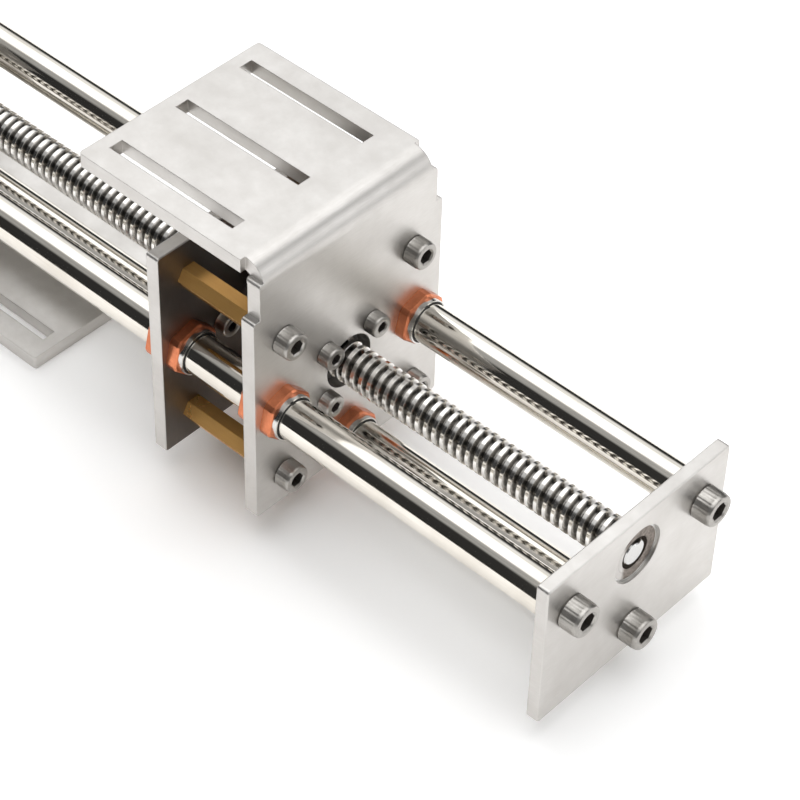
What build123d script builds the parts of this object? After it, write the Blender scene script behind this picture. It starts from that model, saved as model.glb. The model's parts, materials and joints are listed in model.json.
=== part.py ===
"""Screw driven linear axis: a bent steel carriage on three round guide rods, moved by a lead screw.

Millimetres. +X runs along the rods from the drive flange to the free end plate, +Z is up, and
the origin is the middle of the overall length and width, level with the foot's underside.
"""

import os

from build123d import *

os.makedirs("parts", exist_ok=True)

# Guide rods and lead screw
rod_diameter = 12
rod_edge_ratio = 0.133
rod_length = 300
rod_height = 44
lower_rod_drop = 27
rod_end_chamfer = 0.6
screw_diameter = 12
journal_diameter = 10
drive_diameter = 8
drive_length = 20

# Sheet metal
sheet = 4.5
plate_width = 72.2
bend_step = 2.4
bend_radius = 2.5
bend_relief_width = 1.8
bend_relief_height = 5.2
corner_radius = 1
edge_break = 0.3
slot_width = 4.5
slot_edge = 9.4
slot_end_margin = 4.3

# Free end plate
end_sheet = 4
end_plate_height = 50.4
end_plate_below_rods = 36.5

# Drive bracket: foot under the rods, flange across them
foot_length = 111.5
foot_slot_length = 89
drive_flange_above_rods = 37
drive_step_above_foot = 17
motor_hole_spacing = 47.14
motor_hole_diameter = 5.2

# Carriage
carriage_to_end_plate = 98.5
carriage_above_rods = 54
carriage_below_rods = 35.2
carriage_top_length = 67.8
carriage_slot_length = 46.4
carriage_step_above_rods = 37
standoff_length = 31.6
standoff_width = 7
standoff_edge = 11.1
standoff_thread_depth = 10

# Guide bushes
bush_head_width = 15
bush_head_corner_diameter = 16.4
bush_head_height = 3.5
bush_turn = 16
bush_nut_height = 4.2
bush_thread_diameter = 13.8
bush_chamfer = 0.5
wiper_case_diameter = 13.8
wiper_case_length = 1.5
wiper_seat_diameter = 13
wiper_seat_depth = 2.5
wiper_length = 1

# Lead nuts
nut_body_ratio = 0.49
nut_body_length = 12
nut_flange_ratio = 0.64
nut_flange_height = 5
nut_screw_circle_ratio = 0.75
nut_screw_turn_front = 45
nut_screw_turn_rear = 0
nut_hole_margin = 0.4

# Bearings of the lead screw
bearing_diameter = 19
bearing_width = 5
bearing_seat_depth = 3
bearing_lip_diameter = 18
bearing_race_wall = 1.3
bearing_seal_thickness = 0.5

# Clamp collar on the drive end
collar_diameter = 20
collar_width = 8
collar_boss_diameter = 12.6
collar_gap = 0.6
set_screw_diameter = 4

# Socket head screws: M6, M5 and M4 have heads of 10, 8.5 and 7 mm and sockets of 5, 4 and 3 mm
rod_screw_diameter = 6
rod_screw_length = 16
standoff_screw_diameter = 5
standoff_screw_length = 12
nut_screw_diameter = 4
nut_screw_length = 9
head_diameter_ratio = 1.5
head_diameter_extra = 1
socket_narrower_than_shank = 1
socket_depth_ratio = 0.54
head_chamfer = 0.4

# Clearances
running_gap = 0.05
thread_gap = 0.05
screw_hole_gap = 0.25
seat_gap = 0.02

# Places along the rods, worked out from the middle of the overall length
drive_stub = collar_gap + collar_width + drive_length
overall_length = drive_stub + sheet + rod_length + end_sheet + rod_screw_diameter
drive_outer_x = drive_stub - overall_length / 2
foot_front_x = drive_outer_x + foot_length
drive_inner_x = drive_outer_x + sheet
end_inner_x = drive_inner_x + rod_length
end_outer_x = end_inner_x + end_sheet
carriage_front_x = end_inner_x - carriage_to_end_plate
carriage_back_x = carriage_front_x - sheet
rear_plate_front_x = carriage_back_x - standoff_length
rear_plate_back_x = rear_plate_front_x - sheet
end_bearing_outer_x = end_inner_x + bearing_seat_depth
end_bearing_inner_x = end_bearing_outer_x - bearing_width
drive_bearing_outer_x = drive_inner_x - bearing_seat_depth
drive_bearing_inner_x = drive_bearing_outer_x + bearing_width

# Heights above the foot's underside
carriage_top_z = rod_height + carriage_above_rods
carriage_bottom_z = rod_height - carriage_below_rods
carriage_step_z = rod_height + carriage_step_above_rods
drive_top_z = rod_height + drive_flange_above_rods
end_plate_bottom_z = rod_height - end_plate_below_rods

# Widths and patterns across the rods, as (y, z)
slotted_width = plate_width - 2 * bend_step
rod_spacing = plate_width * (1 - 2 * rod_edge_ratio)
nut_flange_diameter = rod_spacing * nut_flange_ratio
nut_screw_circle = nut_flange_diameter * nut_screw_circle_ratio
nut_body_diameter = nut_flange_diameter * nut_body_ratio
nut_hole_diameter = nut_body_diameter + nut_hole_margin
standoff_spacing = plate_width - 2 * standoff_edge
slot_pitch = slotted_width / 2 - slot_edge
bend_outer_radius = bend_radius + sheet
rod_places = {
    "left": (-rod_spacing / 2, rod_height),
    "right": (rod_spacing / 2, rod_height),
    "lower": (0, rod_height - lower_rod_drop),
}
screw_place = (0, rod_height)
standoff_places = {
    "upper_left": (-standoff_spacing / 2, rod_height + standoff_spacing / 2),
    "upper_right": (standoff_spacing / 2, rod_height + standoff_spacing / 2),
    "lower_left": (-standoff_spacing / 2, rod_height - standoff_spacing / 2),
    "lower_right": (standoff_spacing / 2, rod_height - standoff_spacing / 2),
}


def nut_screw_places(turn):
    """Four screw places round the lead screw, the first one turned up from +Y by turn degrees."""
    spokes = [Vector(nut_screw_circle / 2, 0, 0).rotate(Axis.Z, turn + 90 * step) for step in range(4)]
    return [(spoke.X + screw_place[0], spoke.Y + screw_place[1]) for spoke in spokes]


def across(x):
    """Plane square to the rods at x, with its own x along Y and its own y along Z."""
    return Plane(origin=(x, 0, 0), x_dir=(0, 1, 0), z_dir=(1, 0, 0))


def save(part, name):
    part.label = name
    export_step(part, f"parts/{name}.step")


def tube(start_x, end_x, place, outer, inner):
    """Round sleeve along X from start_x to end_x."""
    with BuildPart() as sleeve:
        with BuildSketch(across(start_x)):
            with Locations(place):
                Circle(outer / 2)
                Circle(inner / 2, mode=Mode.SUBTRACT)
        extrude(amount=end_x - start_x)
    return sleeve.part


def cap_screws(shank, length, seat_x, out, places):
    """Socket head screws seated at seat_x, with their heads on the side that out (1 or -1) says.

    A head is as high as the shank is thick.
    """
    head_x = seat_x + out * shank
    with BuildPart() as screws:
        with BuildSketch(across(seat_x)):
            with Locations(*places):
                Circle((shank * head_diameter_ratio + head_diameter_extra) / 2)
        extrude(amount=out * shank)
        chamfer(screws.edges().filter_by_position(Axis.X, head_x, head_x), head_chamfer)
        with BuildSketch(across(seat_x)):
            with Locations(*places):
                Circle(shank / 2)
        extrude(amount=-out * length)
        with BuildSketch(across(head_x)):
            with Locations(*places):
                RegularPolygon((shank - socket_narrower_than_shank) / 2, 6, major_radius=False)
        extrude(amount=-out * shank * socket_depth_ratio, mode=Mode.SUBTRACT)
    return screws.part


def hex_ring(start_x, end_x, place, bore, chamfered_x):
    """Hexagonal ring with turned corners, chamfered on the face at chamfered_x."""
    with BuildPart() as ring:
        with BuildSketch(across(start_x)):
            with Locations(place):
                RegularPolygon(bush_head_width / 2, 6, major_radius=False, rotation=bush_turn)
                Circle(bush_head_corner_diameter / 2, mode=Mode.INTERSECT)
        extrude(amount=end_x - start_x)
        chamfer(ring.edges().filter_by_position(Axis.X, chamfered_x, chamfered_x), bush_chamfer)
        with BuildSketch(across(start_x)):
            with Locations(place):
                Circle(bore / 2)
        extrude(amount=end_x - start_x, mode=Mode.SUBTRACT)
    return ring.part


# Free end plate
with BuildPart() as end_plate:
    with BuildSketch(across(end_inner_x)) as end_outline:
        with Locations((0, end_plate_bottom_z + end_plate_height / 2)):
            Rectangle(plate_width, end_plate_height)
        fillet(end_outline.vertices(), corner_radius)
    extrude(amount=end_sheet)
    chamfer(end_plate.faces().filter_by(Axis.X).edges(), edge_break)
    with Locations(across(end_inner_x)):
        with Locations(*rod_places.values()):
            Hole(rod_screw_diameter / 2 + screw_hole_gap)
    with BuildSketch(across(end_inner_x)):
        with Locations(screw_place):
            Circle(bearing_diameter / 2 + seat_gap)
    extrude(amount=bearing_seat_depth, mode=Mode.SUBTRACT)
    with BuildSketch(across(end_inner_x)):
        with Locations(screw_place):
            Circle(bearing_lip_diameter / 2)
    extrude(amount=end_sheet, mode=Mode.SUBTRACT)
save(end_plate.part, "end_plate")


def bent_sheet(face_x, corner_z, run, rise, out, up):
    """L of sheet: a leg lying along X for run, and a leg standing along Z for rise.

    The outer corner of the bend is at (face_x, corner_z). The lying leg runs from it in the
    direction out (1 or -1) and the standing leg in the direction up (1 or -1).
    """
    outer = (face_x, corner_z)
    inner = (face_x + out * sheet, corner_z + up * sheet)
    with BuildPart() as angle:
        with BuildSketch(Plane.XZ) as side:
            with BuildLine():
                Polyline(
                    outer,
                    (face_x + out * run, corner_z),
                    (face_x + out * run, inner[1]),
                    inner,
                    (inner[0], corner_z + up * rise),
                    (face_x, corner_z + up * rise),
                    close=True,
                )
            make_face()
            fillet(side.vertices().sort_by_distance((*outer, 0))[0], bend_outer_radius)
            fillet(side.vertices().sort_by_distance((*inner, 0))[0], bend_radius)
        extrude(amount=slotted_width / 2, both=True)
        free_end = angle.faces().sort_by(Axis.X)[-1 if out > 0 else 0]
        fillet(free_end.edges().filter_by(Axis.Z), corner_radius)
    return angle.part


# Drive bracket
with BuildPart() as drive_bracket:
    add(bent_sheet(drive_outer_x, 0, foot_length, drive_top_z, 1, 1))
    with BuildSketch(across(drive_outer_x)) as drive_flange:
        with Locations((0, (drive_step_above_foot + drive_top_z) / 2)):
            Rectangle(plate_width, drive_top_z - drive_step_above_foot)
        fillet(drive_flange.vertices(), corner_radius)
    extrude(amount=sheet)
    with BuildSketch(across(drive_outer_x)):
        with GridLocations(slotted_width, 0, 2, 1):
            with Locations((0, bend_relief_height / 2)):
                Rectangle(2 * bend_relief_width, bend_relief_height)
    extrude(amount=bend_outer_radius, mode=Mode.SUBTRACT)
    with BuildSketch(Plane.XY):
        with Locations((foot_front_x - slot_end_margin - foot_slot_length / 2, 0)):
            with GridLocations(0, slot_pitch, 1, 3):
                Rectangle(foot_slot_length, slot_width)
    extrude(amount=sheet, mode=Mode.SUBTRACT)
    with Locations(across(drive_inner_x)):
        with Locations(*rod_places.values()):
            Hole(rod_screw_diameter / 2 + screw_hole_gap, depth=sheet)
        with Locations(screw_place):
            with GridLocations(motor_hole_spacing, motor_hole_spacing, 2, 2):
                Hole(motor_hole_diameter / 2, depth=sheet)
            Hole(bearing_lip_diameter / 2, depth=sheet)
    with BuildSketch(across(drive_inner_x)):
        with Locations(screw_place):
            Circle(bearing_diameter / 2 + seat_gap)
    extrude(amount=-bearing_seat_depth, mode=Mode.SUBTRACT)
save(drive_bracket.part, "drive_bracket")

# Carriage plate: slotted top, bend and front flange in one sheet
with BuildPart() as carriage_plate:
    add(
        bent_sheet(
            carriage_front_x,
            carriage_top_z,
            carriage_top_length,
            carriage_top_z - carriage_bottom_z,
            -1,
            -1,
        )
    )
    with BuildSketch(across(carriage_front_x)) as carriage_flange:
        with Locations((0, (carriage_step_z + carriage_bottom_z) / 2)):
            Rectangle(plate_width, carriage_step_z - carriage_bottom_z)
        fillet(carriage_flange.vertices(), corner_radius)
    extrude(amount=-sheet)
    with BuildSketch(across(carriage_front_x)):
        with GridLocations(slotted_width, 0, 2, 1):
            with Locations((0, carriage_top_z - bend_relief_height / 2)):
                Rectangle(2 * bend_relief_width, bend_relief_height)
    extrude(amount=-bend_outer_radius, mode=Mode.SUBTRACT)
    for side in (-1, 1):
        relief_corner = (carriage_front_x, side * slotted_width / 2, carriage_top_z - bend_relief_height)
        relief_edge = carriage_plate.edges().filter_by(Axis.X).sort_by_distance(relief_corner)[0]
        fillet(relief_edge, corner_radius)
    with BuildSketch(Plane.XY.offset(carriage_top_z)):
        slot_middle = carriage_front_x - carriage_top_length + slot_end_margin + carriage_slot_length / 2
        with Locations((slot_middle, 0)):
            with GridLocations(0, slot_pitch, 1, 3):
                Rectangle(carriage_slot_length, slot_width)
    extrude(amount=-sheet, mode=Mode.SUBTRACT)
    with Locations(across(carriage_front_x)):
        with Locations(*rod_places.values()):
            Hole(bush_thread_diameter / 2 + thread_gap, depth=sheet)
        with Locations(*standoff_places.values()):
            Hole(standoff_screw_diameter / 2 + screw_hole_gap, depth=sheet)
        with Locations(screw_place):
            Hole(nut_hole_diameter / 2, depth=sheet)
        with Locations(*nut_screw_places(nut_screw_turn_front)):
            Hole(nut_screw_diameter / 2 + screw_hole_gap, depth=sheet)
save(carriage_plate.part, "carriage_plate")

# Rear plate of the carriage
with BuildPart() as rear_plate:
    with BuildSketch(across(rear_plate_back_x)) as rear_outline:
        with Locations((0, (carriage_step_z + carriage_bottom_z) / 2)):
            Rectangle(plate_width, carriage_step_z - carriage_bottom_z)
        fillet(rear_outline.vertices(), corner_radius)
    extrude(amount=sheet)
    chamfer(rear_plate.faces().filter_by(Axis.X).edges(), edge_break)
    with Locations(across(rear_plate_front_x)):
        with Locations(*rod_places.values()):
            Hole(bush_thread_diameter / 2 + thread_gap)
        with Locations(*standoff_places.values()):
            Hole(standoff_screw_diameter / 2 + screw_hole_gap)
        with Locations(screw_place):
            Hole(nut_hole_diameter / 2)
        with Locations(*nut_screw_places(nut_screw_turn_rear)):
            Hole(nut_screw_diameter / 2 + screw_hole_gap)
save(rear_plate.part, "rear_plate")

# Guide rods, tapped at both ends
for side, place in rod_places.items():
    with BuildPart() as guide_rod:
        with BuildSketch(across(drive_inner_x)):
            with Locations(place):
                Circle(rod_diameter / 2)
        extrude(amount=rod_length)
        chamfer(guide_rod.edges(), rod_end_chamfer)
        for end_x, inward in ((drive_inner_x, 1), (end_inner_x, -1)):
            with BuildSketch(across(end_x)):
                with Locations(place):
                    Circle(rod_screw_diameter / 2 + thread_gap)
            extrude(amount=inward * rod_screw_length, mode=Mode.SUBTRACT)
    save(guide_rod.part, f"guide_rod_{side}")

for end, seat_x, out in (("end", end_outer_x, 1), ("drive", drive_outer_x, -1)):
    screws = cap_screws(rod_screw_diameter, rod_screw_length, seat_x, out, rod_places.values())
    save(screws, f"rod_screws_{end}")

# Lead screw with a journal for each bearing and a thinner shaft for the coupling
journal_end_x = drive_outer_x - collar_gap - collar_width
with BuildPart() as lead_screw:
    with BuildSketch(across(drive_bearing_inner_x)):
        with Locations(screw_place):
            Circle(screw_diameter / 2)
    extrude(amount=end_bearing_inner_x - drive_bearing_inner_x)
    with BuildSketch(across(end_bearing_inner_x)):
        with Locations(screw_place):
            Circle(journal_diameter / 2 - running_gap)
    extrude(amount=bearing_width)
    with BuildSketch(across(drive_bearing_inner_x)):
        with Locations(screw_place):
            Circle(journal_diameter / 2 - running_gap)
    extrude(amount=journal_end_x - drive_bearing_inner_x)
    with BuildSketch(across(journal_end_x)):
        with Locations(screw_place):
            Circle(drive_diameter / 2)
    extrude(amount=-drive_length)
    tips = (lead_screw.edges().sort_by(Axis.X)[0], lead_screw.edges().sort_by(Axis.X)[-1])
    chamfer(tips, rod_end_chamfer)
save(lead_screw.part, "lead_screw")


def bearing_parts(start_x):
    """Outer ring, inner ring, ring for the caged balls, and seals of a bearing from start_x."""
    end_x = start_x + bearing_width
    inner_ring_diameter = journal_diameter + 2 * bearing_race_wall
    outer_ring_bore = bearing_diameter - 2 * bearing_race_wall
    cage_outer = outer_ring_bore - 2 * seat_gap
    cage_inner = inner_ring_diameter + 2 * running_gap
    outer_ring = tube(start_x, end_x, screw_place, bearing_diameter, outer_ring_bore)
    inner_ring = tube(start_x, end_x, screw_place, inner_ring_diameter, journal_diameter)
    cage = tube(
        start_x + bearing_seal_thickness,
        end_x - bearing_seal_thickness,
        screw_place,
        cage_outer,
        cage_inner,
    )
    with BuildPart() as seals:
        for seal_x in (start_x, end_x - bearing_seal_thickness):
            add(tube(seal_x, seal_x + bearing_seal_thickness, screw_place, cage_outer, cage_inner))
    return outer_ring, inner_ring, cage, seals.part


bearing_sets = [bearing_parts(drive_bearing_outer_x), bearing_parts(end_bearing_inner_x)]
bearing_names = ("bearing_outer_rings", "bearing_inner_rings", "bearing_cages", "bearing_seals")
for index, name in enumerate(bearing_names):
    with BuildPart() as pair:
        for bearing in bearing_sets:
            add(bearing[index])
    save(pair.part, name)

# Clamp collar: its boss reaches through the flange to the bearing's inner ring
collar_inner_x = drive_outer_x - collar_gap
collar_outer_x = collar_inner_x - collar_width
with BuildPart() as drive_collar:
    add(tube(collar_outer_x, collar_inner_x, screw_place, collar_diameter, journal_diameter))
    add(tube(collar_inner_x, drive_bearing_outer_x, screw_place, collar_boss_diameter, journal_diameter))
    with BuildSketch(Plane.XY.offset(rod_height + collar_diameter / 2)):
        with Locations(((collar_inner_x + collar_outer_x) / 2, 0)):
            Circle(set_screw_diameter / 2 + thread_gap)
    extrude(amount=-(collar_diameter - journal_diameter) / 2, mode=Mode.SUBTRACT)
save(drive_collar.part, "drive_collar")

with BuildPart() as set_screw:
    with BuildSketch(Plane.XY.offset(rod_height + journal_diameter / 2)):
        with Locations(((collar_inner_x + collar_outer_x) / 2, 0)):
            Circle(set_screw_diameter / 2)
    extrude(amount=(collar_diameter - journal_diameter) / 2 - rod_end_chamfer)
save(set_screw.part, "collar_set_screw")

# Hexagonal standoffs between the two carriage plates
for corner, place in standoff_places.items():
    with BuildPart() as standoff:
        with BuildSketch(across(rear_plate_front_x)):
            with Locations(place):
                RegularPolygon(standoff_width / 2, 6, major_radius=False)
        extrude(amount=standoff_length)
        for end_x, inward in ((rear_plate_front_x, 1), (carriage_back_x, -1)):
            with BuildSketch(across(end_x)):
                with Locations(place):
                    Circle(standoff_screw_diameter / 2 + thread_gap)
            extrude(amount=inward * standoff_thread_depth, mode=Mode.SUBTRACT)
    save(standoff.part, f"standoff_{corner}")

for end, plate_x, out in (("front", carriage_front_x, 1), ("rear", rear_plate_back_x, -1)):
    screws = cap_screws(
        standoff_screw_diameter, standoff_screw_length, plate_x, out, standoff_places.values()
    )
    save(screws, f"standoff_screws_{end}")

# Guide bushes: hex headed sleeve, lock nut, and a steel case that holds the rubber wiper
bush_bore = rod_diameter + 2 * running_gap
wiper_seats = []
for end, plate_x in (("front", carriage_front_x), ("rear", rear_plate_front_x)):
    head_x = plate_x + bush_head_height
    tail_x = plate_x - sheet - bush_nut_height
    case_x = head_x + wiper_case_length
    for side, place in rod_places.items():
        with BuildPart() as bush:
            add(hex_ring(plate_x, head_x, place, bush_bore, head_x))
            add(tube(tail_x, plate_x, place, bush_thread_diameter, bush_bore))
            with BuildSketch(across(head_x)):
                with Locations(place):
                    Circle(wiper_seat_diameter / 2)
            extrude(amount=-wiper_seat_depth, mode=Mode.SUBTRACT)
        save(bush.part, f"bush_{end}_{side}")
        with BuildPart() as wiper_case:
            seated_diameter = wiper_seat_diameter - 2 * seat_gap
            add(tube(head_x - wiper_seat_depth, head_x, place, seated_diameter, bush_bore))
            add(tube(head_x, case_x, place, wiper_case_diameter, bush_bore))
            with BuildSketch(across(case_x)):
                with Locations(place):
                    Circle(wiper_seat_diameter / 2)
            extrude(amount=-wiper_length, mode=Mode.SUBTRACT)
        save(wiper_case.part, f"wiper_case_{end}_{side}")
        lock_nut = hex_ring(
            tail_x,
            tail_x + bush_nut_height,
            place,
            bush_thread_diameter + 2 * thread_gap,
            tail_x,
        )
        save(lock_nut, f"bush_nut_{end}_{side}")
        wiper_seats.append((case_x, place))
with BuildPart() as wipers:
    for case_x, place in wiper_seats:
        add(
            tube(
                case_x - wiper_length,
                case_x,
                place,
                wiper_seat_diameter - 2 * seat_gap,
                bush_bore,
            )
        )
save(wipers.part, "bush_wipers")

# Lead nuts: flange behind each plate, the front body pointing back and the rear body forward
for end, plate_x, body_length, turn in (
    ("front", carriage_front_x, -nut_body_length, nut_screw_turn_front),
    ("rear", rear_plate_front_x, nut_body_length, nut_screw_turn_rear),
):
    seat_x = plate_x - sheet
    places = nut_screw_places(turn)
    with BuildPart() as lead_nut:
        with BuildSketch(across(seat_x)):
            with Locations(screw_place):
                Circle(nut_flange_diameter / 2)
            with Locations(*places):
                Circle(nut_screw_diameter / 2 + thread_gap, mode=Mode.SUBTRACT)
        extrude(amount=-nut_flange_height)
        with BuildSketch(across(seat_x)):
            with Locations(screw_place):
                Circle(nut_body_diameter / 2)
        extrude(amount=body_length)
        with BuildSketch(across(seat_x)):
            with Locations(screw_place):
                Circle(screw_diameter / 2 + running_gap)
        extrude(amount=nut_body_length, both=True, mode=Mode.SUBTRACT)
    save(lead_nut.part, f"lead_nut_{end}")
    nut_screws = cap_screws(nut_screw_diameter, nut_screw_length, plate_x, 1, places)
    save(nut_screws, f"lead_nut_screws_{end}")
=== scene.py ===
import json
import math

import bpy
from mathutils import Matrix, Vector


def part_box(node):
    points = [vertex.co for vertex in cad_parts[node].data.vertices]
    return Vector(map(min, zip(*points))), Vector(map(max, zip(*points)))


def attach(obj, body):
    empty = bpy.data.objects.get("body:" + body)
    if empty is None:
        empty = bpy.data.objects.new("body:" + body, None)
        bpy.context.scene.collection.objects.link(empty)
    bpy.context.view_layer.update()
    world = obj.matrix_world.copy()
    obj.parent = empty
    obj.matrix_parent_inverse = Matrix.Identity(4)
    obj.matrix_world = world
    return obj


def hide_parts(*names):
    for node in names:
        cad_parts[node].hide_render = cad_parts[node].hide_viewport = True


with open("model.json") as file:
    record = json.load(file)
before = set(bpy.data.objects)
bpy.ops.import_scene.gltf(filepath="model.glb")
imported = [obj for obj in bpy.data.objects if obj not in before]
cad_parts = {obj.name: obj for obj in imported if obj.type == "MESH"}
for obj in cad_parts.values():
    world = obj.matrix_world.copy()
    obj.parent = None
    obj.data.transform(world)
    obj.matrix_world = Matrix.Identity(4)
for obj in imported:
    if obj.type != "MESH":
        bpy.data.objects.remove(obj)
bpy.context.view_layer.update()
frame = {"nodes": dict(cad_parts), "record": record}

MM = 0.001
nodes = frame["nodes"]

# Places read from the construction model, in metres
end_low, end_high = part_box("end_plate")
screw_low, screw_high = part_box("lead_screw")
axis_height = (screw_low[2] + screw_high[2]) / 2
end_outer_x = end_high[0]
foot_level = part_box("drive_bracket")[0][2]

# Lead screw: the thread and the turned ends, which the construction model leaves plain
thread_pitch = 3 * MM
thread_crest_radius = 6 * MM
thread_root_radius = 4.3 * MM
thread_steps = 48
bearing_width = 5 * MM
journal_radius = 4.95 * MM
drive_shaft_radius = 4 * MM
drive_shaft_length = 20 * MM
end_pin_radius = 3.9 * MM
end_pin_length = 2 * MM
notch_depth = 1.1 * MM
notch_turn = 77
notch_half_width = 24
tip_chamfer = 0.6 * MM

# One pitch of the thread as (share of the pitch, share of the depth)
thread_profile = [
    (0.0, 1.0),
    (0.36, 1.0),
    (0.39, 0.93),
    (0.5, 0.07),
    (0.53, 0.0),
    (0.84, 0.0),
    (0.87, 0.07),
    (0.98, 0.93),
]

# Socket head screws, in millimetres
M6 = {"shank": 6, "head": 10, "height": 6, "socket": 5, "depth": 3.2, "length": 16}
M5 = {"shank": 5, "head": 8.5, "height": 5, "socket": 4, "depth": 2.7, "length": 12}
M4 = {"shank": 4, "head": 7, "height": 4, "socket": 3, "depth": 2.2, "length": 9}
head_edge_share = 0.045
knurl_depth_share = 0.022
knurl_teeth = 24
socket_corner_gap = 0.02 * MM
round_steps = 72

# Faces painted apart from the rest: the rear plate's front ones, told by the X share of their normals,
# get painted shade;
# the bearing's keep brown grease, also standing in for shade, up to the first distance below from the
# middle towards the camera, and past it a clean steel tone as painted light
facing_front = 0.9
painted_shade_reach = 3.6 * MM
painted_light_blend = 1.2 * MM

# Height of the finest relief, such as grain, the size of the blotches that handling leaves, and
# how far blotches and grain lines take a metal's tone from light to dark
grain_height = 0.05 * MM
handling_scale = 60
blotch_darkening = 0.5
line_darkening = 0.45
edge_wear = 0.2 * MM
sheet_edge_wear = 0.35 * MM

# White paper floor: its own tone, and the tones that mirrors and the camera see
floor_half = 0.9
floor_tone = 0.75
floor_grain_share = 0.98
floor_mirrored_tone = (1.2, 1.19, 1.18)
floor_camera_tone = (1.2, 1.2, 1.2)

# Light tent: six long panels along X, each given by its first and last degree round the X axis,
# counted from level on the far side over the top, and by its brightness at the drive end, in the
# middle and at the end plate's end. All but the last two brightnesses are, to within 0.01, the
# output of a separate program that fitted them to the photograph's tones; 0.06 and 0.05 were set
# by hand.
sky_strength = 3.2
sky_panels = (
    (-180, 18, (0.01, 0, 0.22)),
    (30, 44, (0.32, 0.09, 0.58)),
    (52, 71, (0.51, 0.58, 0)),
    (79, 94, (0.53, 0.81, 0.31)),
    (102, 122, (0.13, 0.66, 0.27)),
    (132, 180, (0.01, 0.06, 0.05)),
)
middle_reach = 0.35
middle_blur = 0.04

# Camera, placed as in the photograph by a separate program that fitted it to the end plate, the
# screw heads and the rods: the eye is measured from the end plate's outer lower edge
camera_lens = 128.2
camera_sensor = 36
camera_eye = Vector((282.29, -410.05, 576.0)) * MM
camera_direction = Vector((-0.47402, 0.53162, -0.70191))
camera_roll = math.radians(-1.884)

# Where a Mix node keeps its colours
MIX_FIRST_COLOR = 6
MIX_SECOND_COLOR = 7
MIX_COLOR_RESULT = 2


# Mesh building
def mesh_object(name, points, faces, smooth_angle=30):
    mesh = bpy.data.meshes.new(name)
    mesh.from_pydata(points, [], faces)
    mesh.validate()
    mesh.polygons.foreach_set("use_smooth", [True] * len(mesh.polygons))
    mesh.set_sharp_from_angle(angle=math.radians(smooth_angle))
    piece = bpy.data.objects.new(name, mesh)
    bpy.context.scene.collection.objects.link(piece)
    return piece


def plain(radius):
    return lambda angle: radius


def notched(radius):
    """Round with one shallow notch, centred notch_turn degrees round from +Y."""

    def reach(angle):
        off_middle = abs(math.degrees(angle) - notch_turn)
        return radius - notch_depth if off_middle < notch_half_width else radius

    return reach


def hexagon(across_flats):
    """Hexagon with two flats level."""
    sector = math.radians(60)

    def radius(angle):
        from_flat = (angle - math.radians(90) + sector / 2) % sector - sector / 2
        return across_flats / 2 / math.cos(from_flat)

    return radius


def knurled(radius, depth, teeth):
    """Straight knurl: the surface dips below the radius between the teeth."""
    return lambda angle: radius - depth * abs(math.sin(angle * teeth / 2))


def stacked_rings(rings, centers, direction):
    """Points and faces of one turned solid at each (x, y, z) centre.

    rings is a list of (distance along X from the centre, radius as a function of angle).
    """
    points = []
    faces = []
    for center in centers:
        start = len(points)
        for distance, radius in rings:
            for step in range(round_steps):
                angle = 2 * math.pi * step / round_steps
                reach = radius(angle)
                x = center[0] + direction * distance
                y = center[1] + reach * math.cos(angle)
                z = center[2] + reach * math.sin(angle)
                points.append((x, y, z))
        for ring in range(len(rings) - 1):
            for step in range(round_steps):
                following = (step + 1) % round_steps
                low = start + ring * round_steps
                high = low + round_steps
                corners = (low + step, low + following, high + following, high + step)
                faces.append(corners if direction < 0 else corners[::-1])
        first = tuple(range(start, start + round_steps))
        last_start = start + (len(rings) - 1) * round_steps
        last = tuple(range(last_start, last_start + round_steps))
        faces.append(first if direction > 0 else first[::-1])
        faces.append(last[::-1] if direction > 0 else last)
    return points, faces


def solid_centers(node, count):
    """Middle (y, z) of each of a node's separate solids, which share no points."""
    mesh = nodes[node].data
    parent = list(range(len(mesh.vertices)))

    def root(index):
        while parent[index] != index:
            parent[index] = parent[parent[index]]
            index = parent[index]
        return index

    places = {}
    for vertex in mesh.vertices:
        key = tuple(round(value, 6) for value in vertex.co)
        parent[vertex.index] = root(places.setdefault(key, vertex.index))
    for edge in mesh.edges:
        parent[root(edge.vertices[0])] = root(edge.vertices[1])
    groups = {}
    for vertex in mesh.vertices:
        groups.setdefault(root(vertex.index), []).append(vertex.co)
    if len(groups) != count:
        raise ValueError(f"{node} has {len(groups)} solids, expected {count}")
    centers = []
    for group in groups.values():
        low = [min(point[axis] for point in group) for axis in range(3)]
        high = [max(point[axis] for point in group) for axis in range(3)]
        centers.append(((low[1] + high[1]) / 2, (low[2] + high[2]) / 2))
    return sorted(centers)


# Materials
def mixed_color(tree, factor, first, second):
    """Mix of two colours, each a tuple or another node's output."""
    node = tree.nodes.new("ShaderNodeMix")
    node.data_type = "RGBA"
    tree.links.new(factor, node.inputs["Factor"])
    for place, color in ((MIX_FIRST_COLOR, first), (MIX_SECOND_COLOR, second)):
        if isinstance(color, tuple):
            node.inputs[place].default_value = (*color, 1)
        else:
            tree.links.new(color, node.inputs[place])
    return node.outputs[MIX_COLOR_RESULT]


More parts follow.
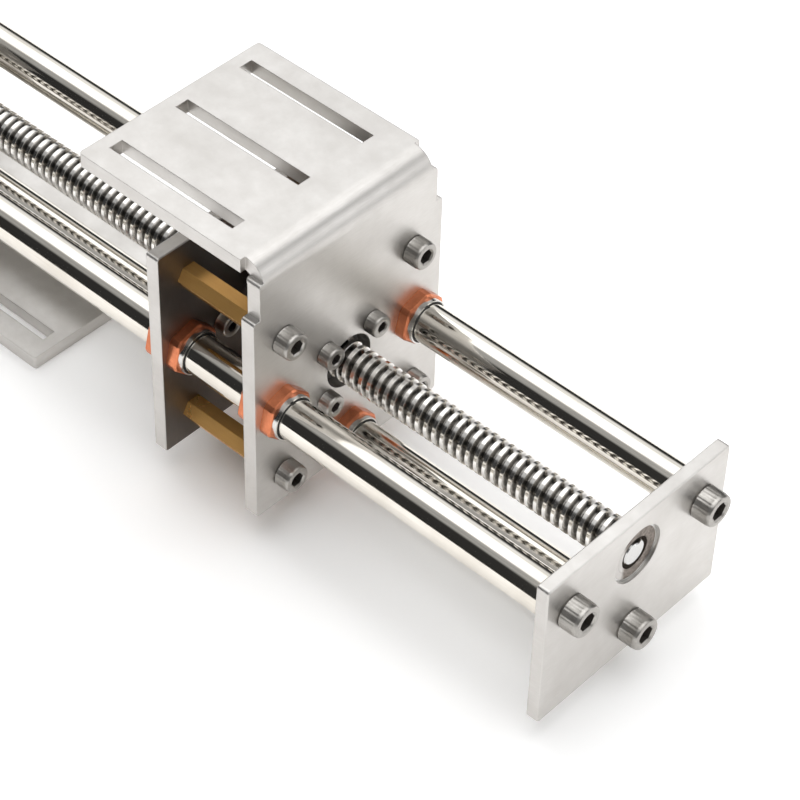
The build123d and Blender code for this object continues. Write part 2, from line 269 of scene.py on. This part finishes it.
class Surface:
    """A material with its texture coordinates in metres, the same on every piece."""

    def __init__(self, name):
        self.material = bpy.data.materials.new(name)
        self.material.use_nodes = True
        self.tree = self.material.node_tree
        self.shader = self.tree.nodes["Principled BSDF"]
        self.place = self.tree.nodes.new("ShaderNodeTexCoord").outputs["Object"]

    def link(self, output, socket):
        self.tree.links.new(output, socket)

    def set(self, **values):
        for name, value in values.items():
            self.shader.inputs[name.replace("_", " ")].default_value = value

    def drive(self, name, output):
        self.link(output, self.shader.inputs[name])

    def noise(self, scale, stretch=(1, 1, 1), detail=4):
        mapping = self.tree.nodes.new("ShaderNodeMapping")
        mapping.inputs["Scale"].default_value = stretch
        self.link(self.place, mapping.inputs["Vector"])
        texture = self.tree.nodes.new("ShaderNodeTexNoise")
        texture.inputs["Scale"].default_value = scale
        texture.inputs["Detail"].default_value = detail
        texture.inputs["Roughness"].default_value = 0.6
        self.link(mapping.outputs["Vector"], texture.inputs["Vector"])
        return texture.outputs["Fac"]

    def remap(self, value, low, high, from_low=0.3, from_high=0.7):
        """Stretches a value to low and high; a noise stays mostly between 0.3 and 0.7."""
        node = self.tree.nodes.new("ShaderNodeMapRange")
        node.inputs["From Min"].default_value = from_low
        node.inputs["From Max"].default_value = from_high
        node.inputs["To Min"].default_value = low
        node.inputs["To Max"].default_value = high
        self.link(value, node.inputs["Value"])
        return node.outputs["Result"]

    def mix_colors(self, factor, first, second):
        return mixed_color(self.tree, factor, first, second)

    def bump(self, height, strength, edge_radius=0):
        node = self.tree.nodes.new("ShaderNodeBump")
        node.inputs["Strength"].default_value = strength
        node.inputs["Distance"].default_value = grain_height
        self.link(height, node.inputs["Height"])
        if edge_radius:
            bevel = self.tree.nodes.new("ShaderNodeBevel")
            bevel.samples = 4
            bevel.inputs["Radius"].default_value = edge_radius
            self.link(bevel.outputs["Normal"], node.inputs["Normal"])
        self.drive("Normal", node.outputs["Normal"])


def metal(name, light, dark, roughness, relief, grain_scale, grain=(1, 1, 1), edge=0, metallic=1):
    """Metal with a directional grain, blotches of handling and a slightly uneven polish."""
    surface = Surface(name)
    surface.set(Metallic=metallic)
    lines = surface.noise(grain_scale, grain, detail=6)
    blotches = surface.noise(handling_scale, detail=5)
    tone = surface.mix_colors(surface.remap(blotches, 0, blotch_darkening), light, dark)
    tone = surface.mix_colors(surface.remap(lines, 0, line_darkening), tone, dark)
    surface.drive("Base Color", tone)
    surface.drive("Roughness", surface.remap(blotches, *roughness))
    surface.bump(lines, relief, edge)
    return surface.material


def brushed_sheet():
    """Plates, brushed across their height."""
    return metal(
        "sheet",
        light=(0.68, 0.665, 0.645),
        dark=(0.52, 0.5, 0.475),
        roughness=(0.32, 0.42),
        relief=0.12,
        grain_scale=900,
        grain=(0.25, 0.25, 6),
        edge=sheet_edge_wear,
    )


def painted_shade_sheet():
    """Darker copy of the sheet for the rear plate's inner face, as painted shade."""
    return metal(
        "sheet_painted_shade",
        light=(0.22, 0.2, 0.185),
        dark=(0.15, 0.135, 0.12),
        roughness=(0.35, 0.5),
        relief=0.12,
        grain_scale=900,
        grain=(0.25, 6, 0.25),
    )


def ground_chrome():
    """Guide rods, with faint lines along their length."""
    return metal(
        "chrome",
        light=(0.88, 0.85, 0.79),
        dark=(0.58, 0.54, 0.47),
        roughness=(0.05, 0.13),
        relief=0.05,
        grain_scale=700,
        grain=(0.12, 4, 4),
    )


def rolled_thread():
    """Bright crests as painted highlight and dark roots as painted shade in the grooves: the tone
    follows the distance from the screw's axis.
    """
    bright = (0.95, 0.93, 0.9)
    painted_root_shade = (0.26, 0.25, 0.235)
    stained = (0.2, 0.19, 0.17)
    surface = Surface("lead_screw")
    surface.set(Metallic=1)
    centered = surface.tree.nodes.new("ShaderNodeMapping")
    centered.inputs["Location"].default_value = (0, 0, -axis_height)
    centered.inputs["Scale"].default_value = (0, 1, 1)
    surface.link(surface.place, centered.inputs["Vector"])
    distance = surface.tree.nodes.new("ShaderNodeVectorMath")
    distance.operation = "LENGTH"
    surface.link(centered.outputs["Vector"], distance.inputs[0])
    # Painted shade towards the roots and painted highlight at the crests: the tone runs from dark to
    # bright between these two distances from the axis
    painted_shade_below = thread_crest_radius - 0.9 * MM
    bright_above = thread_crest_radius - 0.05 * MM
    height = surface.remap(distance.outputs["Value"], 0, 1, painted_shade_below, bright_above)
    tone = surface.mix_colors(height, painted_root_shade, bright)
    blotches = surface.noise(300, detail=5)
    tone = surface.mix_colors(surface.remap(blotches, 0, 0.2), tone, stained)
    surface.drive("Base Color", tone)
    surface.drive("Roughness", surface.remap(blotches, 0.12, 0.22))
    surface.bump(surface.noise(1500), 0.06)
    return surface.material


def copper_bronze():
    """Guide bushes and their lock nuts."""
    return metal(
        "copper",
        light=(0.85, 0.3, 0.15),
        dark=(0.4, 0.115, 0.055),
        roughness=(0.24, 0.42),
        relief=0.3,
        grain_scale=500,
        edge=edge_wear,
    )


def drawn_brass():
    """Standoffs, drawn lengthwise."""
    return metal(
        "brass",
        light=(1.0, 0.585, 0.2),
        dark=(0.75, 0.4, 0.11),
        roughness=(0.16, 0.3),
        relief=0.12,
        grain_scale=1200,
        grain=(0.1, 3, 3),
        edge=edge_wear,
        metallic=0.7,
    )


def turned_steel():
    return metal(
        "steel_ring",
        light=(0.75, 0.74, 0.72),
        dark=(0.5, 0.49, 0.47),
        roughness=(0.15, 0.25),
        relief=0.08,
        grain_scale=1500,
    )


def dark_nut_steel():
    return metal(
        "nut_steel",
        light=(0.2, 0.19, 0.18),
        dark=(0.1, 0.1, 0.1),
        roughness=(0.35, 0.5),
        relief=0.15,
        grain_scale=1200,
    )


def bearing_steel():
    return metal(
        "bearing_steel",
        light=(0.7, 0.7, 0.69),
        dark=(0.5, 0.5, 0.49),
        roughness=(0.12, 0.2),
        relief=0.05,
        grain_scale=1500,
    )


def bright_fastener():
    return metal(
        "fastener",
        light=(0.5, 0.485, 0.46),
        dark=(0.27, 0.255, 0.235),
        roughness=(0.28, 0.4),
        relief=0.12,
        grain_scale=1500,
    )


# Black finish of the dark fasteners; the same material is also painted into screw sockets and the groove
# under the heads as painted shade
def black_fastener_and_recess_shade():
    return metal(
        "dark_fastener",
        light=(0.3, 0.28, 0.26),
        dark=(0.15, 0.14, 0.13),
        roughness=(0.35, 0.5),
        relief=0.15,
        grain_scale=1500,
    )


def black_rubber():
    surface = Surface("seal")
    surface.set(Metallic=0, Base_Color=(0.02, 0.02, 0.02, 1))
    grain = surface.noise(2500)
    surface.drive("Roughness", surface.remap(grain, 0.5, 0.75))
    surface.bump(grain, 0.3)
    return surface.material


def bearing_grease_and_painted_light():
    """Face of the bearing in its recess: mottled brown grease, which also stands in for the recess's
    shade, and a clean steel tone on the camera's side as painted light.
    """
    light_grease_and_shade = (0.3, 0.26, 0.23)
    dark_grease_and_shade = (0.12, 0.1, 0.085)
    painted_lit_steel = (0.6, 0.58, 0.56)
    surface = Surface("bearing_grease_and_painted_light")
    surface.set(Metallic=1)
    grain = surface.noise(900, detail=5)
    grease_and_shade = surface.mix_colors(surface.remap(grain, 0, 1), light_grease_and_shade, dark_grease_and_shade)
    across = surface.tree.nodes.new("ShaderNodeSeparateXYZ")
    surface.link(surface.place, across.inputs["Vector"])
    painted_shade_side = surface.remap(across.outputs["Y"], 0, 1, -painted_shade_reach - painted_light_blend, -painted_shade_reach)
    surface.drive("Base Color", surface.mix_colors(painted_shade_side, painted_lit_steel, grease_and_shade))
    surface.drive("Roughness", surface.remap(grain, 0.35, 0.55))
    surface.bump(grain, 0.3)
    return surface.material


materials = {
    "sheet": brushed_sheet(),
    "sheet_painted_shade": painted_shade_sheet(),
    "chrome": ground_chrome(),
    "lead_screw": rolled_thread(),
    "copper": copper_bronze(),
    "brass": drawn_brass(),
    "steel_ring": turned_steel(),
    "nut_steel": dark_nut_steel(),
    "bearing_steel": bearing_steel(),
    "fastener": bright_fastener(),
    "dark_fastener": black_fastener_and_recess_shade(),
    "seal": black_rubber(),
    "bearing_grease_and_painted_light": bearing_grease_and_painted_light(),
}
slot_of = {part["node"]: part["material_slot"] for part in frame["record"]["subparts"]}


def dress(piece, finish):
    piece.data.materials.clear()
    piece.data.materials.append(materials[finish])


def paint_shade_on_inner_face(node):
    """Paints shade on the faces towards the front flange, which stay out of the light, with the darker
    copy of the sheet.
    """
    node.data.materials.append(materials["sheet_painted_shade"])
    for face in node.data.polygons:
        if face.normal.x > facing_front:
            face.material_index = 1


for node_name, node in nodes.items():
    dress(node, slot_of[node_name])
paint_shade_on_inner_face(nodes["rear_plate"])
# The bearing's faces: painted light on the camera's side, brown grease and painted shade on the other
for grease_and_light_node in ("bearing_seals", "bearing_inner_rings"):
    dress(nodes[grease_and_light_node], "bearing_grease_and_painted_light")


def stand_in(piece, node, body, finish):
    """piece takes the place of a plain construction node and moves with its body."""
    dress(piece, finish)
    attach(piece, body)
    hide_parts(node)


# Guide rods
def build_rod(node):
    low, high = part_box(node)
    radius = (high[1] - low[1]) / 2
    length = high[0] - low[0]
    center = (low[0], (low[1] + high[1]) / 2, (low[2] + high[2]) / 2)
    rings = [
        (0, plain(radius - tip_chamfer)),
        (tip_chamfer, plain(radius)),
        (length - tip_chamfer, plain(radius)),
        (length, plain(radius - tip_chamfer)),
    ]
    rod = mesh_object(f"polished_{node}", *stacked_rings(rings, [center], 1))
    stand_in(rod, node, "frame", slot_of[node])


for rod_node in ("guide_rod_left", "guide_rod_right", "guide_rod_lower"):
    build_rod(rod_node)


# Lead screw: right-hand trapezoidal thread between turned journals
def build_thread(start_x, end_x):
    """Points and faces of the thread: each turn repeats the profile, shifted along by the pitch.

    One turn more at each end is pressed flat against that end.
    """
    turns = math.ceil((end_x - start_x) / thread_pitch) + 2
    row = turns * len(thread_profile)
    points = []
    for step in range(thread_steps + 1):
        angle = 2 * math.pi * step / thread_steps
        for turn in range(turns):
            for along, height in thread_profile:
                x = start_x + (turn - 1 + along + step / thread_steps) * thread_pitch
                x = min(max(x, start_x), end_x)
                from_end = min(x - start_x, end_x - x)
                radius = thread_root_radius + height * (thread_crest_radius - thread_root_radius)
                radius = min(radius, thread_root_radius + from_end)
                points.append((x, radius * math.cos(angle), axis_height + radius * math.sin(angle)))
    faces = []
    for step in range(thread_steps):
        for index in range(row - 1):
            low = step * row + index
            faces.append((low, low + row, low + row + 1, low + 1))
    return points, faces


def build_drive_journal(bearing_x):
    """Drive shaft and the journal up to the thread's start."""
    journal_end = bearing_x - screw_low[0] + tip_chamfer
    rings = [
        (0, plain(drive_shaft_radius - tip_chamfer)),
        (tip_chamfer, plain(drive_shaft_radius)),
        (drive_shaft_length, plain(drive_shaft_radius)),
        (drive_shaft_length, plain(journal_radius)),
        (journal_end, plain(journal_radius)),
    ]
    center = (screw_low[0], 0, axis_height)
    return mesh_object("drive_journal", *stacked_rings(rings, [center], 1))


def build_end_journal(bearing_x):
    """Journal with a notched pin, which shows in the end plate's opening."""
    rings = [
        (-tip_chamfer, plain(journal_radius)),
        (bearing_width - end_pin_length, plain(journal_radius)),
        (bearing_width - end_pin_length, notched(end_pin_radius)),
        (bearing_width - tip_chamfer / 2, notched(end_pin_radius)),
        (bearing_width, notched(end_pin_radius - tip_chamfer / 2)),
    ]
    center = (bearing_x, 0, axis_height)
    return mesh_object("end_journal", *stacked_rings(rings, [center], 1))


def build_lead_screw():
    rings_low, rings_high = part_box("bearing_inner_rings")
    thread_start = rings_low[0] + bearing_width
    thread_end = rings_high[0] - bearing_width
    thread = mesh_object("rolled_thread", *build_thread(thread_start, thread_end), smooth_angle=40)
    stand_in(thread, "lead_screw", "screw", "lead_screw")
    for journal in (build_drive_journal(thread_start), build_end_journal(thread_end)):
        stand_in(journal, "lead_screw", "screw", "bearing_steel")


build_lead_screw()


# Socket head screws
def paint_shade_in_recesses(piece, ring_count, painted_shade_rings):
    """Paints shade, with the dark fastener finish, on the faces after each of the listed rings and on
    every solid's last cap.
    """
    piece.data.materials.append(materials["dark_fastener"])
    faces_per_solid = (ring_count - 1) * round_steps + 2
    for index, face in enumerate(piece.data.polygons):
        place = index % faces_per_solid
        last_cap = place == faces_per_solid - 1
        if last_cap or place // round_steps in painted_shade_rings:
            face.material_index = 1


def screw_rings(size):
    """Shank, groove under the head, knurled head with a turned edge, and hexagonal socket."""
    shank_radius = size["shank"] / 2 * MM
    head = size["head"] * MM
    head_radius = head / 2
    height = size["height"] * MM
    socket = size["socket"] * MM
    length = size["length"] * MM
    edge = head * head_edge_share
    groove = edge * 0.7
    knurl_start = length + edge * 1.3
    knurl_end = length + height * 0.74
    turned_edge_start = length + height * 0.8
    top = length + height
    socket_floor = top - size["depth"] * MM
    socket_point = socket_floor - socket / 5
    socket_lip = socket * 0.6 + edge / 2
    knurl = knurled(head_radius, head * knurl_depth_share, knurl_teeth)
    return [
        (0, plain(shank_radius - edge)),
        (edge, plain(shank_radius)),
        (length, plain(shank_radius)),
        (length, plain(head_radius - groove)),
        (length + groove, plain(head_radius - groove)),
        (length + groove, plain(head_radius)),
        (knurl_start, knurl),
        (knurl_end, knurl),
        (turned_edge_start, plain(head_radius - edge / 4)),
        (top - edge, plain(head_radius - edge / 2)),
        (top - edge / 3, plain(head_radius - edge)),
        (top, plain(head_radius - edge * 2)),
        (top, plain(socket_lip)),
        (top - edge, hexagon(socket)),
        (socket_floor, hexagon(socket)),
        (socket_point, plain(socket_corner_gap)),
    ]


def build_screws(node, count, out, size, body):
    """All the screws of one node; out is 1 where the heads point along +X, else -1."""
    low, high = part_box(node)
    tip_x = low[0] if out > 0 else high[0]
    centers = [(tip_x, y, z) for y, z in solid_centers(node, count)]
    rings = screw_rings(size)
    screws = mesh_object(f"socket_{node}", *stacked_rings(rings, centers, out), smooth_angle=32)
    stand_in(screws, node, body, slot_of[node])
    # Painted shade: the groove under the head and the socket's walls and floor take the dark fastener
    # finish
    groove_ring = 3
    socket_rings = (len(rings) - 3, len(rings) - 2)
    paint_shade_in_recesses(screws, len(rings), (groove_ring, *socket_rings))


build_screws("rod_screws_end", 3, 1, M6, "frame")
build_screws("rod_screws_drive", 3, -1, M6, "frame")
build_screws("standoff_screws_front", 4, 1, M5, "carriage")
build_screws("standoff_screws_rear", 4, -1, M5, "carriage")
build_screws("lead_nut_screws_front", 4, 1, M4, "carriage")
build_screws("lead_nut_screws_rear", 4, 1, M4, "carriage")


# Floor and sky
def seen_mix(tree, for_eyes, for_others, mirrored):
    """Mix of two shaders: the first for what the camera sees, in mirrors too if asked for."""
    path = tree.nodes.new("ShaderNodeLightPath")
    seen = tree.nodes.new("ShaderNodeMath")
    seen.operation = "MAXIMUM"
    seen.inputs[1].default_value = 0
    tree.links.new(path.outputs["Is Camera Ray"], seen.inputs[0])
    if mirrored:
        tree.links.new(path.outputs["Is Glossy Ray"], seen.inputs[1])
    mix = tree.nodes.new("ShaderNodeMixShader")
    tree.links.new(seen.outputs["Value"], mix.inputs["Fac"])
    tree.links.new(for_others, mix.inputs[1])
    tree.links.new(for_eyes, mix.inputs[2])
    return mix.outputs["Shader"]


def build_floor():
    """White paper. Seen directly or in a mirror its tone is lifted so that the lit part is white."""
    corners = ((-1, -1), (1, -1), (1, 1), (-1, 1))
    points = [(across * floor_half, along * floor_half, 0) for across, along in corners]
    floor = mesh_object("floor", points, [(0, 1, 2, 3)])
    surface = Surface("floor_paper")
    surface.set(Roughness=0.7, Specular_IOR_Level=0.1)
    grain = surface.remap(surface.noise(400), 0, 1)
    paper = surface.mix_colors(grain, (floor_tone,) * 3, (floor_tone * floor_grain_share,) * 3)
    surface.drive("Base Color", paper)
    lifted = surface.tree.nodes.new("ShaderNodeBsdfDiffuse")
    path = surface.tree.nodes.new("ShaderNodeLightPath")
    camera_ray = path.outputs["Is Camera Ray"]
    seen_tone = surface.mix_colors(camera_ray, floor_mirrored_tone, floor_camera_tone)
    surface.link(seen_tone, lifted.inputs["Color"])
    shown = seen_mix(surface.tree, lifted.outputs["BSDF"], surface.shader.outputs["BSDF"], mirrored=True)
    surface.link(shown, surface.tree.nodes["Material Output"].inputs["Surface"])
    floor.data.materials.append(surface.material)
    floor.location.z = foot_level


def sky_ramp(tree, turned, stretch):
    """Brightness round the X axis, over one stretch of the panels' length: 0 is the drive end.

    The stop that a new ramp has at its start becomes the first panel's.
    """
    ramp = tree.nodes.new("ShaderNodeValToRGB")
    tree.links.new(turned, ramp.inputs["Fac"])
    elements = ramp.color_ramp.elements
    elements.remove(elements[1])
    for first_degree, last_degree, brightness in sky_panels:
        level = brightness[stretch]
        for degree in (first_degree, last_degree):
            place = (degree + 180) / 360
            stop = elements.new(place) if place > 0 else elements[0]
            stop.color = (level, level, level, 1)
    return ramp.outputs["Color"]


def sky_step(tree, along, middle):
    """Rises from 0 to 1 as the direction's X share passes middle."""
    step = tree.nodes.new("ShaderNodeMapRange")
    step.interpolation_type = "SMOOTHSTEP"
    step.inputs["From Min"].default_value = middle - middle_blur
    step.inputs["From Max"].default_value = middle + middle_blur
    tree.links.new(along, step.inputs["Value"])
    return step.outputs["Result"]


def turn_round_x(tree, direction):
    """How far a direction is turned round the X axis, from 0 to 1 over the whole circle."""
    turn = tree.nodes.new("ShaderNodeMath")
    turn.operation = "ARCTAN2"
    tree.links.new(direction.outputs["Z"], turn.inputs[0])
    tree.links.new(direction.outputs["Y"], turn.inputs[1])
    share = tree.nodes.new("ShaderNodeMapRange")
    share.inputs["From Min"].default_value = -math.pi
    share.inputs["From Max"].default_value = math.pi
    tree.links.new(turn.outputs["Value"], share.inputs["Value"])
    return share.outputs["Result"]


def build_sky():
    """Light tent, bright overhead and dim on the camera's side. The camera sees it as white."""
    world = bpy.data.worlds.new("studio")
    bpy.context.scene.world = world
    world.use_nodes = True
    tree = world.node_tree
    direction = tree.nodes.new("ShaderNodeSeparateXYZ")
    place = tree.nodes.new("ShaderNodeTexCoord")
    tree.links.new(place.outputs["Generated"], direction.inputs["Vector"])
    turned = turn_round_x(tree, direction)
    drive_end, middle, plate_end = [sky_ramp(tree, turned, stretch) for stretch in range(3)]
    along = direction.outputs["X"]
    level = mixed_color(tree, sky_step(tree, along, -middle_reach), drive_end, middle)
    level = mixed_color(tree, sky_step(tree, along, middle_reach), level, plate_end)
    studio = tree.nodes["Background"]
    studio.inputs["Strength"].default_value = sky_strength
    tree.links.new(level, studio.inputs["Color"])
    white = tree.nodes.new("ShaderNodeBackground")
    white.inputs["Color"].default_value = (1, 1, 1, 1)
    white.inputs["Strength"].default_value = 1
    shown = seen_mix(tree, white.outputs["Background"], studio.outputs["Background"], mirrored=False)
    tree.links.new(shown, tree.nodes["World Output"].inputs["Surface"])


build_floor()
build_sky()


# Camera
def build_camera():
    camera_data = bpy.data.cameras.new("camera")
    camera_data.sensor_width = camera_sensor
    camera_data.lens = camera_lens
    camera = bpy.data.objects.new("camera", camera_data)
    eye = camera_eye + Vector((end_outer_x, 0, end_low[2]))
    forward = camera_direction.normalized()
    level = forward.cross(Vector((0, 0, 1))).normalized()
    right = Matrix.Rotation(camera_roll, 3, forward) @ level
    up = right.cross(forward)
    turn = Matrix((right, up, -forward)).transposed()
    camera.matrix_world = Matrix.Translation(eye) @ turn.to_4x4()
    bpy.context.scene.collection.objects.link(camera)
    bpy.context.scene.camera = camera


build_camera()
bpy.context.scene.view_settings.view_transform = "Standard"
